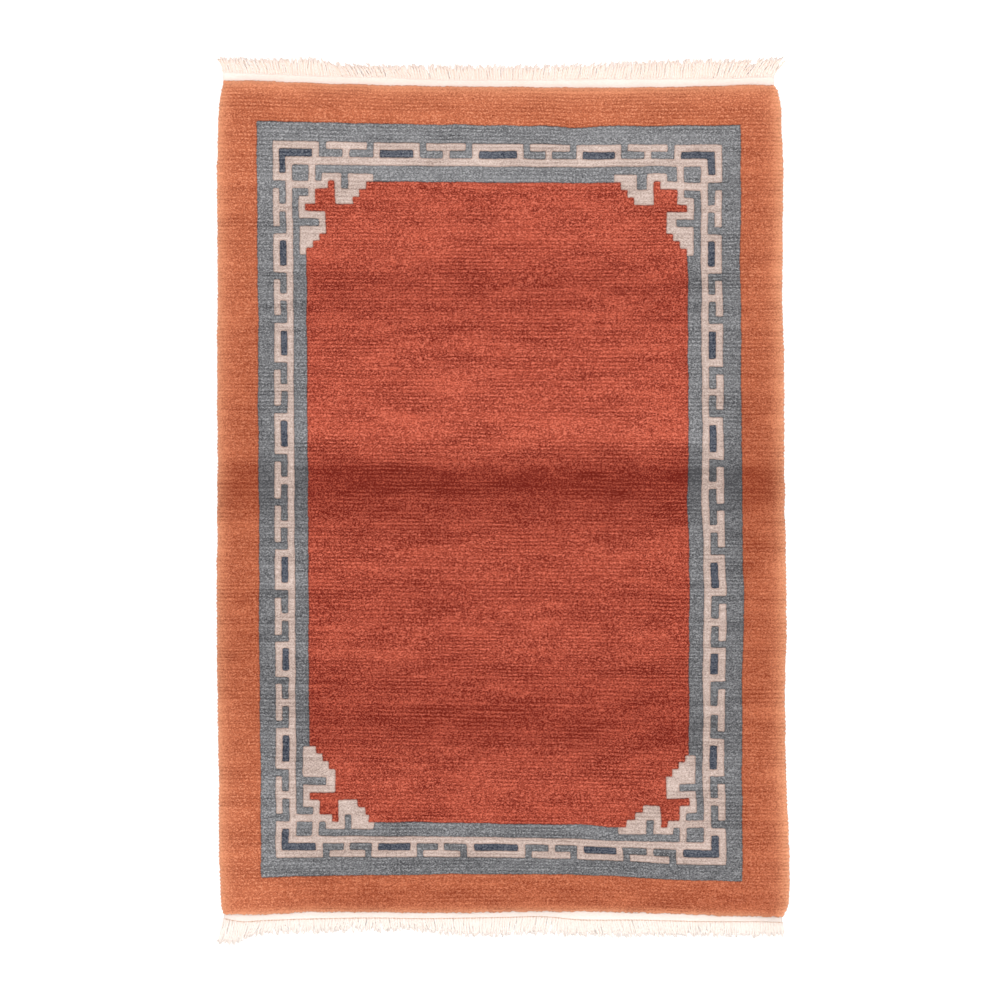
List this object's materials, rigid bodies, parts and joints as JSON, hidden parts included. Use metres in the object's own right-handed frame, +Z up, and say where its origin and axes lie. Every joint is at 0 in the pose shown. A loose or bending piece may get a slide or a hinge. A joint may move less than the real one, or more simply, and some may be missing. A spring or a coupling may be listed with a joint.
{
  "type": "tibetan rug",
  "caption": "Small hand knotted wool rug with a stepped key border, lying flat, with woven cotton ends and short fringe",
  "frame": {"origin": "on the floor under the middle of the rug", "axes": "+X across the rug to the right, +Y along it to the head end, +Z up out of the pile"},
  "size_m": [0.6157, 0.954, 0.011],
  "materials": {
    "wool_pile": "matte cut wool pile",
    "cotton_fringe": "matte twisted cotton"
  },
  "bodies": {
    "root": {"rug_cloth": "wool_pile", "head_fringe": "cotton_fringe", "foot_fringe": "cotton_fringe"}
  },
  "joints": []
}
